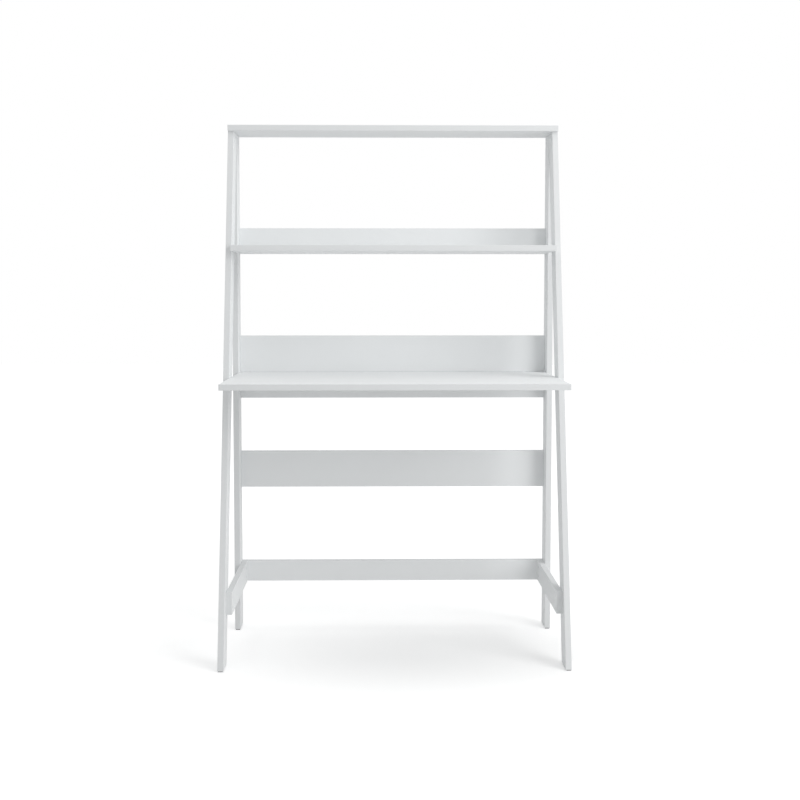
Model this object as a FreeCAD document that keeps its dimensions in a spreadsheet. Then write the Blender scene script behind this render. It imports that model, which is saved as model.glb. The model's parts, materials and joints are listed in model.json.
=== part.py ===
import FreeCAD, Part
import math
import os

import Sketcher

# Ladder desk of painted boards, millimetres.
# X runs left to right, Y from the front to the back, Z up.  The origin is on the floor,
# under the middle of the footprint, so the desktop's front edge and the plane of the back
# edges are equally far from it.  A "depth" below is a distance forward from that back plane.

doc = FreeCAD.newDocument("LadderDesk")

# ---------------------------------------------------------------- driving dimensions
DIMENSIONS = [
    ("overall_width", 922.0, "over the outer faces of the legs"),
    ("overall_height", 1450.0, "floor to the top of the top shelf"),
    ("desktop_depth", 450.0, "back plane to the front edge of the desktop"),
    ("desktop_height", 753.0, "floor to the writing surface"),
    ("middle_shelf_rise", 19.5, "top of the middle shelf above halfway from the desktop to the top shelf"),
    ("middle_shelf_depth", 218.0, "back plane to the front edge of the middle shelf"),
    ("top_shelf_depth", 128.0, "back plane to the front edge of the top shelf"),
    ("modesty_top", 520.0, "floor to the top edge of the modesty panel"),
    ("crossbar_top", 194.0, "floor to the top edge of the bottom crossbar and the side rails"),
    ("side_rail_reach", 352.0, "back plane to the front end of a side rail"),
    ("leg_thickness", 16.0, "board that the legs and the side rails are cut from"),
    ("leg_depth", 60.0, "width of a leg board, square across it"),
    ("rake_angle", 11.44, "lean of a front leg, degrees from upright"),
    ("bearing_height", 12.0, "upright flat at the head of a front leg, against the rear leg"),
    ("shelf_thickness", 16.0, "board of the desktop and both shelves"),
    ("rail_thickness", 15.0, "board of the cross rails and panels"),
    ("rail_height", 60.0, "rail under the desktop, crossbar and side rails"),
    ("middle_rail_height", 58.0, "rail that stands on the middle shelf"),
    ("panel_height", 106.0, "modesty panel and the panel behind the desktop"),
    ("edge_round", 0.8, "eased edges of every board"),
    ("pad_thickness", 2.5, "foot pad"),
    ("pad_inset", 2.0, "edge of a foot pad in from the edges of its leg"),
    ("pad_round", 0.6, "eased edges of a foot pad"),
    ("fit", 0.1, "radial clearance round bolts, nuts, dowels, cams, screws and plugs"),
    ("end_gap", 0.5, "left at the blind end of a bore, beyond what slides into it"),
    ("bolt_diameter", 6.0, "frame bolt"),
    ("bolt_head_diameter", 10.0, "frame bolt"),
    ("bolt_head_height", 4.0, "frame bolt"),
    ("bolt_reach", 30.5, "frame bolt, beyond the leg into the rail"),
    ("bolt_socket", 4.0, "hexagon socket of a frame bolt, across flats"),
    ("bolt_socket_depth", 2.5, "hexagon socket of a frame bolt"),
    ("plug_thickness", 1.5, "plug over a bolt head, flush with the leg"),
    ("plug_diameter", 11.0, "plug over a bolt head"),
    ("nut_diameter", 10.0, "barrel nut"),
    ("nut_margin", 1.5, "barrel nut, each end in from the faces of its rail"),
    ("nut_reach", 25.0, "barrel nut, axis in from the end of its rail"),
    ("nut_slot_width", 1.4, "driver slot of a barrel nut"),
    ("nut_slot_depth", 1.2, "driver slot of a barrel nut"),
    ("rail_fixing_inset", 17.0, "bolt or dowel in from the long edge of a rail"),
    ("panel_bolt_inset", 25.0, "bolt in from the long edge of a panel"),
    ("dowel_diameter", 8.0, "wooden dowel"),
    ("dowel_seat", 10.0, "dowel in the board that it stands out of"),
    ("dowel_reach", 20.0, "dowel in the board that slides onto it"),
    ("dowel_chamfer", 1.0, "dowel ends"),
    ("dowel_pitch", 300.0, "between the dowels along a standing rail or panel"),
    ("cam_diameter", 15.0, "cam lock"),
    ("cam_height", 11.5, "cam lock"),
    ("cam_axis", 7.5, "cam bolt's axis in from the face that the cam lock is let into"),
    ("cam_reach", 24.0, "cam lock's centre in from the joint"),
    ("cam_mouth", 7.6, "hole in the side of a cam lock, for the head of the cam bolt"),
    ("cam_slot_width", 2.0, "driver slot of a cam lock"),
    ("cam_slot_depth", 2.0, "driver slot of a cam lock"),
    ("cam_bolt_thread", 5.0, "screwed end of a cam bolt, diameter"),
    ("cam_bolt_seat", 11.0, "screwed end of a cam bolt, length"),
    ("cam_bolt_shaft", 6.6, "smooth part of a cam bolt, diameter"),
    ("cam_bolt_waist", 4.0, "waist behind the head of a cam bolt, diameter"),
    ("cam_bolt_head", 3.0, "length of the head, and of the waist, of a cam bolt"),
    ("cap_diameter", 17.0, "cap over a cam lock"),
    ("cap_thickness", 1.2, "cap over a cam lock"),
    ("cap_bevel", 0.8, "rim of a cap over a cam lock"),
    ("shelf_cam_inset", 16.0, "cam bolt of a shelf back from the rear leg's front edge"),
    ("shelf_dowel_inset", 22.0, "dowel of a shelf forward from the back plane"),
    ("raked_fixing_offset", 13.0, "cam bolt and dowel of a shelf either side of a front leg's middle"),
    ("top_fixing_inset", 18.0, "cam bolt and dowel of the top shelf in from the edges of a leg"),
    ("screw_diameter", 4.0, "side rail screw"),
    ("screw_head_diameter", 8.0, "side rail screw"),
    ("screw_reach", 9.5, "side rail screw, beyond the rail into the leg"),
    ("screw_point", 3.0, "pointed end of a side rail screw"),
    ("screw_spread", 13.0, "side rail screws above and below the middle of the rail"),
    ("screw_recess", 2.5, "square recess of a side rail screw, across flats"),
    ("screw_recess_depth", 1.6, "square recess of a side rail screw"),
]

sheet = doc.addObject("Spreadsheet::Sheet", "dims")
for row, (alias, value, meaning) in enumerate(DIMENSIONS, start=1):
    sheet.set(f"A{row}", alias)
    sheet.set(f"B{row}", str(value))
    sheet.set(f"C{row}", meaning)
    sheet.setAlias(f"B{row}", alias)
doc.recompute()


def value_of(expression):
    """Number that an expression gives with the sheet's present sizes."""
    result = sheet.evalExpression(expression)
    return float(getattr(result, "Value", result))


# ---------------------------------------------------------------- places that pieces share
# Each is an expression on the sheet, so a hole and what goes in it always use the same one.
HALF_WIDTH = "dims.overall_width / 2"
INNER_FACE = "(dims.overall_width / 2 - dims.leg_thickness)"
SPAN = "(dims.overall_width - 2 * dims.leg_thickness)"
BACK = "dims.desktop_depth / 2"
LEG_TOP = "(dims.overall_height - dims.shelf_thickness)"
LEG_LENGTH = f"({LEG_TOP} - dims.pad_thickness)"
MIDDLE_TOP = f"((dims.desktop_height + {LEG_TOP}) / 2 + dims.middle_shelf_rise)"
SLOPE = "tan(dims.rake_angle)"
RAKED_DEPTH = "dims.leg_depth / cos(dims.rake_angle)"
BEARING_BOTTOM = f"({LEG_TOP} - dims.bearing_height)"
FRONT_FOOT = f"(dims.leg_depth + {RAKED_DEPTH} + {SLOPE} * ({BEARING_BOTTOM} - dims.pad_thickness))"
RAIL_MIDDLE = "dims.rail_thickness / 2"

# Bores, each a named clearance larger than what goes in it.
HEAD_BORE_DEPTH = "(dims.plug_thickness + dims.bolt_head_height)"
BOLT_GRIP = f"(dims.leg_thickness - {HEAD_BORE_DEPTH})"
HEAD_BORE = "(dims.bolt_head_diameter + 2 * dims.fit)"
BOLT_BORE = "(dims.bolt_diameter + 2 * dims.fit)"
BOLT_BORE_DEPTH = "(dims.bolt_reach + dims.end_gap)"
PLUG_BORE = "(dims.plug_diameter + 2 * dims.fit)"
NUT_BORE = "(dims.nut_diameter + 2 * dims.fit)"
NUT_LENGTH = "(dims.rail_thickness - 2 * dims.nut_margin)"
NUT_BORE_DEPTH = "(dims.rail_thickness - dims.nut_margin)"
DOWEL_BORE = "(dims.dowel_diameter + 2 * dims.fit)"
DOWEL_BORE_DEPTH = "(dims.dowel_reach + dims.end_gap)"
CAM_BORE = "(dims.cam_diameter + 2 * dims.fit)"
CAM_SHAFT_BORE = "(dims.cam_bolt_shaft + 2 * dims.fit)"
CAM_THREAD_BORE = "(dims.cam_bolt_thread + 2 * dims.fit)"
SCREW_BORE = "(dims.screw_diameter + 2 * dims.fit)"
SCREW_HEAD_BORE = "(dims.screw_head_diameter + 2 * dims.fit)"
SCREW_BORE_DEPTH = "(dims.screw_reach + dims.end_gap)"
SCREW_HEAD_HEIGHT = "((dims.screw_head_diameter - dims.screw_diameter) / 2)"
COUNTERSINK_ANGLE = 90


def at_depth(depth):
    """Y of a point that lies a given distance forward of the back plane."""
    return f"({BACK} - ({depth}))"


def raked_front(height):
    """Depth of a front leg's front edge at a height above the floor."""
    return f"({FRONT_FOOT} - {SLOPE} * ({height} - dims.pad_thickness))"


def raked_middle(height):
    """Depth of a front leg's centre line at a height above the floor."""
    return f"({raked_front(height)} - {RAKED_DEPTH} / 2)"


# ---------------------------------------------------------------- sketching and cutting
def make_body(name):
    """New body with its label, and its origin planes by their role."""
    body = doc.addObject("PartDesign::Body", name)
    body.Label = name
    planes = {feature.Role: feature for feature in body.Origin.OriginFeatures}
    return body, planes


def make_sketch(body, plane, name, lift="0"):
    """Sketch on an origin plane, lifted along the plane's normal by an expression."""
    sketch = body.newObject("Sketcher::SketchObject", name)
    sketch.AttachmentSupport = [(plane, "")]
    sketch.MapMode = "FlatFace"
    sketch.setExpression("AttachmentOffset.Base.z", lift)
    return sketch


def tie(sketch, kind, geometry, point, expression):
    """Hold one coordinate of a point to an expression, or to the axis where it is zero."""
    axis = {"DistanceX": -2, "DistanceY": -1}[kind]
    if expression == "0":
        sketch.addConstraint(Sketcher.Constraint("PointOnObject", geometry, point, axis))
        return
    number = value_of(expression)
    index = sketch.addConstraint(Sketcher.Constraint(kind, -1, 1, geometry, point, number))
    sketch.setExpression(f"Constraints[{index}]", expression)


def draw_outline(sketch, outline):
    """Closed outline of straight sides through corners given as pairs of expressions."""
    points = [FreeCAD.Vector(value_of(across), value_of(up), 0) for across, up in outline]
    count = len(points)
    for index in range(count):
        line = Part.LineSegment(points[index], points[(index + 1) % count])
        sketch.addGeometry(line, False)
    for index in range(count):
        following = (index + 1) % count
        sketch.addConstraint(Sketcher.Constraint("Coincident", index, 2, following, 1))
    for index, (across, up) in enumerate(outline):
        tie(sketch, "DistanceX", index, 1, across)
        tie(sketch, "DistanceY", index, 1, up)


def circle_area(diameter):
    """Area of a circle whose diameter is an expression."""
    return math.pi / 4 * value_of(diameter) ** 2


def draw_circles(sketch, centres, diameter):
    """Circles of one diameter about centres given as pairs of expressions."""
    radius = value_of(diameter) / 2
    up_axis = FreeCAD.Vector(0, 0, 1)
    for index, (across, up) in enumerate(centres):
        centre = FreeCAD.Vector(value_of(across), value_of(up), 0)
        sketch.addGeometry(Part.Circle(centre, up_axis, radius), False)
        tie(sketch, "DistanceX", index, 3, across)
        tie(sketch, "DistanceY", index, 3, up)
        size = sketch.addConstraint(Sketcher.Constraint("Diameter", index, 2 * radius))
        sketch.setExpression(f"Constraints[{size}]", diameter)


def pad_sketch(body, sketch, length):
    """Pad along the sketch's normal."""
    pad = body.newObject("PartDesign::Pad", "Pad")
    pad.Profile = sketch
    pad.setExpression("Length", length)
    sketch.Visibility = False
    doc.recompute()
    return pad


def cut_sketch(body, sketch, depth, forward, expected_volume):
    """Pocket to a depth, forward along the sketch's normal or back, and proof that it cuts."""
    before = body.Shape.Volume
    pocket = body.newObject("PartDesign::Pocket", "Pocket")
    pocket.Profile = sketch
    pocket.Reversed = forward
    pocket.setExpression("Length", depth)
    sketch.Visibility = False
    doc.recompute()
    removed = before - body.Shape.Volume
    if removed < expected_volume / 2:
        raise RuntimeError(f"{body.Label}: {sketch.Name} removed only {removed:.1f} mm3")


def ease_edges(body, base, edges, radius):
    """Round the named edges of a feature."""
    fillet = body.newObject("PartDesign::Fillet", "EasedEdges")
    fillet.Base = (base, edges)
    fillet.setExpression("Radius", radius)
    doc.recompute()


# ---------------------------------------------------------------- boards
# A board's own frame has its zero at the left, front, bottom corner of its box.  Its body's
# Placement puts that corner in the desk, and drill() turns places in the desk into its frame.
boxes = {}
nodes = []


def place_board(body, corner, size):
    """Bind a body's Placement to the left, front, bottom corner of its box, and note the box."""
    for letter, expression in zip("xyz", corner):
        body.setExpression(f"Placement.Base.{letter}", expression)
    boxes[body.Name] = (corner, size)
    nodes.append((body, 1))


def make_board(name, size, corner, radius="dims.edge_round"):
    """Square-cut board with all its edges eased."""
    body, planes = make_body(name)
    width, depth, height = size
    sketch = make_sketch(body, planes["XY_Plane"], "Outline")
    draw_outline(sketch, [("0", "0"), (width, "0"), (width, depth), ("0", depth)])
    pad = pad_sketch(body, sketch, height)
    all_edges = [f"Edge{number + 1}" for number in range(len(pad.Shape.Edges))]
    ease_edges(body, pad, all_edges, radius)
    place_board(body, corner, size)
    return body


# For each face: the plane it is parallel to, which two desk axes its sketch shows, whether it
# is the near or the far one of its pair, and whether the plane's normal points into the desk's
# positive direction.
FACES = {
    "left": ("YZ_Plane", (1, 2), 0, False, 1),
    "right": ("YZ_Plane", (1, 2), 0, True, 1),
    "front": ("XZ_Plane", (0, 2), 1, False, -1),
    "back": ("XZ_Plane", (0, 2), 1, True, -1),
    "bottom": ("XY_Plane", (0, 1), 2, False, 1),
    "top": ("XY_Plane", (0, 1), 2, True, 1),
}


def make_drill_sketch(body, face, spots, diameter, sink):
    """Sketch of circles on a face, and whether the way into the board is along its normal."""
    role, shown, normal_axis, is_far, normal_sign = FACES[face]
    planes = {feature.Role: feature for feature in body.Origin.OriginFeatures}
    corner, size = boxes[body.Name]
    level = f"({size[normal_axis]} - ({sink}))" if is_far else f"({sink})"
    lift = f"{normal_sign} * {level}"
    sketch = make_sketch(body, planes[role], f"Drill_{face}", lift)
    centres = []
    for spot in spots:
        centres.append(tuple(f"({spot[k]}) - ({corner[shown[k]]})" for k in (0, 1)))
    draw_circles(sketch, centres, diameter)
    inward = -1 if is_far else 1
    return sketch, inward == normal_sign


def drill(body, face, spots, diameter, depth, sink="0"):
    """Round holes square into a face of a board, at places given in the desk's own axes.

    sink starts the holes below the face, where a wider bore has already been cut.
    """
    sketch, inward_is_normal = make_drill_sketch(body, face, spots, diameter, sink)
    expected = circle_area(diameter) * value_of(depth) * len(spots)
    cut_sketch(body, sketch, depth, inward_is_normal, expected)


def make_rear_leg(name, left_edge):
    """Upright leg."""
    size = ("dims.leg_thickness", "dims.leg_depth", LEG_LENGTH)
    return make_board(name, size, (left_edge, at_depth("dims.leg_depth"), "dims.pad_thickness"))


def make_front_leg(name, left_edge):
    """Raked leg, cut level at foot and head, with an upright flat where it meets the rear leg."""
    body, planes = make_body(name)
    reach = f"({FRONT_FOOT} - dims.leg_depth)"
    bearing = f"({BEARING_BOTTOM} - dims.pad_thickness)"
    head = f"({SLOPE} * {LEG_LENGTH})"
    sketch = make_sketch(body, planes["YZ_Plane"], "Outline")
    outline = [("0", "0"), (RAKED_DEPTH, "0"), (reach, bearing), (reach, LEG_LENGTH), (head, LEG_LENGTH)]
    draw_outline(sketch, outline)
    pad = pad_sketch(body, sketch, "dims.leg_thickness")
    long_edges = []
    for number, edge in enumerate(pad.Shape.Edges, start=1):
        if edge.BoundBox.XLength < value_of("dims.leg_thickness") / 2:
            long_edges.append(f"Edge{number}")
    ease_edges(body, pad, long_edges, "dims.edge_round")
    corner = (left_edge, at_depth(FRONT_FOOT), "dims.pad_thickness")
    place_board(body, corner, ("dims.leg_thickness", reach, LEG_LENGTH))
    return body


def make_cross_board(name, bottom, height):
    """Board between the rear legs, flush with their back edges."""
    size = (SPAN, "dims.rail_thickness", height)
    return make_board(name, size, (f"-{INNER_FACE}", at_depth("dims.rail_thickness"), bottom))


LEFT_LEG_EDGE = f"-{HALF_WIDTH}"
rear_legs = {
    "left": make_rear_leg("rear_leg_left", LEFT_LEG_EDGE),
    "right": make_rear_leg("rear_leg_right", INNER_FACE),
}
front_legs = {
    "left": make_front_leg("front_leg_left", LEFT_LEG_EDGE),
    "right": make_front_leg("front_leg_right", INNER_FACE),
}

# Cross rails and panels, with the height of each one's bottom edge.
DESK_UNDERSIDE = "(dims.desktop_height - dims.shelf_thickness)"
MIDDLE_UNDERSIDE = f"({MIDDLE_TOP} - dims.shelf_thickness)"
CROSSBAR_BOTTOM = "(dims.crossbar_top - dims.rail_height)"
RAILS = {
    "middle_shelf_back_rail": (MIDDLE_TOP, "dims.middle_rail_height"),
    "under_desk_rail": (f"({DESK_UNDERSIDE} - dims.rail_height)", "dims.rail_height"),
    "bottom_crossbar": (CROSSBAR_BOTTOM, "dims.rail_height"),
}
PANEL_BOTTOMS = {
    "desktop_back_panel": "dims.desktop_height",
    "modesty_panel": "(dims.modesty_top - dims.panel_height)",
}
cross_boards = {}
for name, (bottom, height) in RAILS.items():
    cross_boards[name] = make_cross_board(name, bottom, height)
for name, bottom in PANEL_BOTTOMS.items():
    cross_boards[name] = make_cross_board(name, bottom, "dims.panel_height")

desktop = make_board(
    "desktop",
    (SPAN, "dims.desktop_depth", "dims.shelf_thickness"),
    (f"-{INNER_FACE}", at_depth("dims.desktop_depth"), DESK_UNDERSIDE),
)
middle_shelf = make_board(
    "middle_shelf",
    (SPAN, "dims.middle_shelf_depth", "dims.shelf_thickness"),
    (f"-{INNER_FACE}", at_depth("dims.middle_shelf_depth"), MIDDLE_UNDERSIDE),
)
top_shelf = make_board(
    "top_shelf",
    ("dims.overall_width", "dims.top_shelf_depth", "dims.shelf_thickness"),
    (LEFT_LEG_EDGE, at_depth("dims.top_shelf_depth"), LEG_TOP),
)

SIDE_RAIL_LENGTH = "(dims.side_rail_reach - dims.rail_thickness)"
side_rails = {}
for side, left_edge in (("left", f"-{INNER_FACE}"), ("right", f"({INNER_FACE} - dims.leg_thickness)")):
    side_rails[side] = make_board(
        f"side_rail_{side}",
        ("dims.leg_thickness", SIDE_RAIL_LENGTH, "dims.rail_height"),
        (left_edge, at_depth("dims.side_rail_reach"), CROSSBAR_BOTTOM),
    )

# Foot pads, a little smaller than the feet they are under.
PAD_WIDTH = "(dims.leg_thickness - 2 * dims.pad_inset)"
for side, left_edge in (("left", LEFT_LEG_EDGE), ("right", INNER_FACE)):
    pad_left = f"({left_edge} + dims.pad_inset)"
    for place, foot_front, foot_depth in (
        ("rear", "dims.leg_depth", "dims.leg_depth"),
        ("front", FRONT_FOOT, RAKED_DEPTH),
    ):
        make_board(
            f"foot_pad_{place}_{side}",
            (PAD_WIDTH, f"({foot_depth} - 2 * dims.pad_inset)", "dims.pad_thickness"),
            (pad_left, at_depth(f"{foot_front} - dims.pad_inset"), "0"),
            "dims.pad_round",
        )


# ---------------------------------------------------------------- fasteners
# One of each kind is modelled standing up along Z with its first end at zero.  It is the
# original of a group of links, and a compound of the links is the node.
X_AXIS = FreeCAD.Vector(1, 0, 0)
Y_AXIS = FreeCAD.Vector(0, 1, 0)
Z_AXIS = FreeCAD.Vector(0, 0, 1)


def facing(along, mark):
    """Rotation that turns a fastener's Z to one direction and its X to another."""
    return FreeCAD.Rotation(mark, along.cross(mark), along, "ZXY")


TO_RIGHT = facing(X_AXIS, Z_AXIS)
TO_LEFT = facing(-X_AXIS, Z_AXIS)
TO_FRONT = facing(-Y_AXIS, X_AXIS)
UP_MARK_RIGHT = facing(Z_AXIS, X_AXIS)
UP_MARK_LEFT = facing(Z_AXIS, -X_AXIS)
DOWN = facing(-Z_AXIS, X_AXIS)


def turn(name, outline):
    """Turned piece: an outline of (radius, height) pairs, revolved about Z."""
    body, planes = make_body(name)
    sketch = make_sketch(body, planes["XZ_Plane"], "Outline")
    draw_outline(sketch, outline)
    revolution = body.newObject("PartDesign::Revolution", "Turned")
    revolution.Profile = sketch
    revolution.ReferenceAxis = (sketch, ["V_Axis"])
    revolution.Angle = 360
    sketch.Visibility = False
    doc.recompute()
    return body, planes


def cut_end_recess(body, planes, half_length, half_width, depth):
    """Rectangular recess cut into the first end of a fastener."""
    sketch = make_sketch(body, planes["XY_Plane"], "Recess")
    rectangle = [
        (f"-({half_length})", f"-({half_width})"),
        (half_length, f"-({half_width})"),
        (half_length, half_width),
        (f"-({half_length})", half_width),
    ]
    draw_outline(sketch, rectangle)
    area = 2 * value_of(half_length) * 2 * value_of(half_width)
    cut_sketch(body, sketch, depth, True, area * value_of(depth))


def make_group(name, original, copies):
    """Node of separate solids: one link to the original for each (x, y, z, rotation)."""
    links = []
    for index, (x, y, z, rotation) in enumerate(copies, start=1):
        link = doc.addObject("App::Link", f"{name}_{index}")
        link.LinkedObject = original
        link.Placement = FreeCAD.Placement(FreeCAD.Vector(), rotation)
        link.setExpression(".Placement.Base.x", x)
        link.setExpression(".Placement.Base.y", y)
        link.setExpression(".Placement.Base.z", z)
        links.append(link)
    group = doc.addObject("Part::Compound", name)
    group.Label = name
    group.Links = links
    nodes.append((group, len(links)))


def make_frame_bolt():
    """Bolt with a cylinder head and a hexagon socket, its head end at zero."""
    head = "dims.bolt_head_diameter / 2"
    shank = "dims.bolt_diameter / 2"
    tip = f"(dims.bolt_head_height + {BOLT_GRIP} + dims.bolt_reach)"
    outline = [
        ("0", "0"),
        (head, "0"),
        (head, "dims.bolt_head_height"),
        (shank, "dims.bolt_head_height"),
        (shank, tip),
        ("0", tip),
    ]
    body, planes = turn("frame_bolt", outline)
    sketch = make_sketch(body, planes["XY_Plane"], "Socket")
    flat = "dims.bolt_socket / 2"
    point = "dims.bolt_socket / sqrt(3)"
    half_point = "dims.bolt_socket / sqrt(3) / 2"
    hexagon = [
        (point, "0"),
        (half_point, flat),
        (f"-{half_point}", flat),
        (f"-{point}", "0"),
        (f"-{half_point}", f"-{flat}"),
        (half_point, f"-{flat}"),
    ]
    draw_outline(sketch, hexagon)
    volume = value_of("dims.bolt_socket") ** 2 * value_of("dims.bolt_socket_depth")
    cut_sketch(body, sketch, "dims.bolt_socket_depth", True, volume)
    return body


def make_barrel_nut():
    """Cross dowel nut, its slotted end at zero, with the bolt's hole across its middle."""
    radius = "dims.nut_diameter / 2"
    outline = [("0", "0"), (radius, "0"), (radius, NUT_LENGTH), ("0", NUT_LENGTH)]
    body, planes = turn("barrel_nut", outline)
    across = make_sketch(body, planes["YZ_Plane"], "BoltHole", "-dims.nut_diameter")
    draw_circles(across, [("0", f"{NUT_LENGTH} / 2")], BOLT_BORE)
    volume = circle_area(BOLT_BORE) * value_of("dims.nut_diameter")
    cut_sketch(body, across, "2 * dims.nut_diameter", True, volume)
    past_edge = f"({radius} + dims.fit)"
    cut_end_recess(body, planes, past_edge, "dims.nut_slot_width / 2", "dims.nut_slot_depth")
    return body


def make_plug():
    """Flat plug that sits over a bolt head, flush with the leg."""
    radius = "dims.plug_diameter / 2"
    outline = [("0", "0"), (radius, "0"), (radius, "dims.plug_thickness"), ("0", "dims.plug_thickness")]
    return turn("cover_plug", outline)[0]


def make_dowel():
    """Wooden dowel with both ends chamfered; its short seat is the end at zero."""
    radius = "dims.dowel_diameter / 2"
    neck = f"({radius} - dims.dowel_chamfer)"
    length = "(dims.dowel_seat + dims.dowel_reach)"
    outline = [
        ("0", "0"),
        (neck, "0"),
        (radius, "dims.dowel_chamfer"),
        (radius, f"({length} - dims.dowel_chamfer)"),
        (neck, length),
        ("0", length),
    ]
    return turn("dowel", outline)[0]


def make_cam_bolt():
    """Cam bolt: a screwed end, a smooth shaft, then a waist and a head for the cam to pull."""
    thread = "dims.cam_bolt_thread / 2"
    shaft = "dims.cam_bolt_shaft / 2"
    waist = "dims.cam_bolt_waist / 2"
    seat = "dims.cam_bolt_seat"
    tip = f"({seat} + dims.cam_reach + dims.cam_bolt_head / 2)"
    under_head = f"({tip} - dims.cam_bolt_head)"
    above_shaft = f"({tip} - 2 * dims.cam_bolt_head)"
    outline = [
        ("0", "0"),
        (thread, "0"),
        (thread, seat),
        (shaft, seat),
        (shaft, above_shaft),
        (waist, above_shaft),
        (waist, under_head),
        (shaft, under_head),
        (shaft, tip),
        ("0", tip),
    ]
    return turn("cam_bolt", outline)[0]


def make_cam_lock():
    """Cam lock, its slotted face at zero and its mouth towards +X."""
    radius = "dims.cam_diameter / 2"
    outline = [("0", "0"), (radius, "0"), (radius, "dims.cam_height"), ("0", "dims.cam_height")]
    body, planes = turn("cam_lock", outline)
    mouth = make_sketch(body, planes["YZ_Plane"], "Mouth", "-dims.cam_bolt_head")
    draw_circles(mouth, [("0", "dims.cam_axis")], "dims.cam_mouth")
    volume = circle_area("dims.cam_mouth") * value_of(radius)
    cut_sketch(body, mouth, "dims.cam_diameter", True, volume)
    half_slot = f"{radius} - dims.cam_slot_width"
    cut_end_recess(body, planes, half_slot, "dims.cam_slot_width / 2", "dims.cam_slot_depth")
    return body


def make_cam_cap():
    """Thin cap with a bevelled rim; zero is the side that sticks to the board."""
    radius = "dims.cap_diameter / 2"
    height = "dims.cap_thickness"
    outline = [
        ("0", "0"),
        (radius, "0"),
        (radius, f"({height} - dims.cap_bevel)"),
        (f"({radius} - dims.cap_bevel)", height),
        ("0", height),
    ]
    return turn("cam_cap", outline)[0]


def make_side_screw():
    """Countersunk screw with a square recess, its head at zero."""
    head = "dims.screw_head_diameter / 2"
    shank = "dims.screw_diameter / 2"
    tip = "(dims.leg_thickness + dims.screw_reach)"
    outline = [
        ("0", "0"),
        (head, "0"),
        (shank, SCREW_HEAD_HEIGHT),
        (shank, f"({tip} - dims.screw_point)"),
        ("0", tip),
    ]
    body, planes = turn("side_screw", outline)
    flat = "dims.screw_recess / 2"
    cut_end_recess(body, planes, flat, flat, "dims.screw_recess_depth")
    return body


frame_bolt = make_frame_bolt()
barrel_nut = make_barrel_nut()
cover_plug = make_plug()
dowel = make_dowel()
cam_bolt = make_cam_bolt()
cam_lock = make_cam_lock()
cam_cap = make_cam_cap()
side_screw = make_side_screw()


# ---------------------------------------------------------------- joints of the frame
# The sign of X on each side of the desk, the side across from it, and the ways its fasteners face.
SIGNS = {"left": "-", "right": ""}
OPPOSITE = {"left": "right", "right": "left"}
INWARD = {"left": TO_RIGHT, "right": TO_LEFT}
OUTWARD = {"left": TO_LEFT, "right": TO_RIGHT}
UP_MOUTH_OUT = {"left": UP_MARK_LEFT, "right": UP_MARK_RIGHT}

places = {}


def add_place(node, x, y, z, rotation):
    """Note one fastener's place for the group that becomes its node."""
    places.setdefault(node, []).append((x, y, z, rotation))


def countersink(body, face, spots, diameter, head_diameter):
    """Countersunk holes through a board, at places in the desk's own axes."""
    sketch, inward_is_normal = make_drill_sketch(body, face, spots, diameter, "0")
    doc.recompute()
    before = body.Shape.Volume
    hole = body.newObject("PartDesign::Hole", "Countersunk")
    hole.Profile = sketch
    hole.Reversed = inward_is_normal
    hole.DepthType = "ThroughAll"
    hole.Threaded = False
    hole.HoleCutType = "Countersink"
    hole.HoleCutCustomValues = True
    hole.HoleCutCountersinkAngle = COUNTERSINK_ANGLE
    hole.setExpression("Diameter", diameter)
    hole.setExpression("HoleCutDiameter", head_diameter)
    sketch.Visibility = False
    doc.recompute()
    if body.Shape.Volume >= before:
        raise RuntimeError(f"{body.Label}: the countersunk holes removed nothing")


def join_cross_board(name, bolt_heights, dowel_heights):
    """Bolts, barrel nuts, plugs and dowels between one cross board and both rear legs."""
    board = cross_boards[name]
    depth = at_depth(RAIL_MIDDLE)
    bolts = [(depth, height) for height in bolt_heights]
    dowels = [(depth, height) for height in dowel_heights]
    for side, sign in SIGNS.items():
        leg = rear_legs[side]
        drill(leg, side, bolts, PLUG_BORE, "dims.plug_thickness")
        drill(leg, side, bolts, HEAD_BORE, "dims.bolt_head_height", "dims.plug_thickness")
        drill(leg, side, bolts, BOLT_BORE, BOLT_GRIP, HEAD_BORE_DEPTH)
        drill(leg, OPPOSITE[side], dowels, DOWEL_BORE, "dims.dowel_seat")
        drill(board, side, bolts, BOLT_BORE, BOLT_BORE_DEPTH)
        drill(board, side, dowels, DOWEL_BORE, DOWEL_BORE_DEPTH)
        nut_across = f"{sign}({INNER_FACE} - dims.nut_reach)"
        nut_spots = [(nut_across, height) for height in bolt_heights]
        drill(board, "back", nut_spots, NUT_BORE, NUT_BORE_DEPTH)
        outer = f"{sign}({HALF_WIDTH})"
        head = f"{sign}({HALF_WIDTH} - dims.plug_thickness)"
        dowel_end = f"{sign}({INNER_FACE} + dims.dowel_seat)"
        for height in bolt_heights:
            add_place("bolt_cover_plugs", outer, depth, height, INWARD[side])
            add_place("rail_bolts", head, depth, height, INWARD[side])
            add_place("barrel_nuts", nut_across, at_depth("dims.nut_margin"), height, TO_FRONT)
        for height in dowel_heights:
            add_place("rail_end_dowels", dowel_end, depth, height, INWARD[side])


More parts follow.
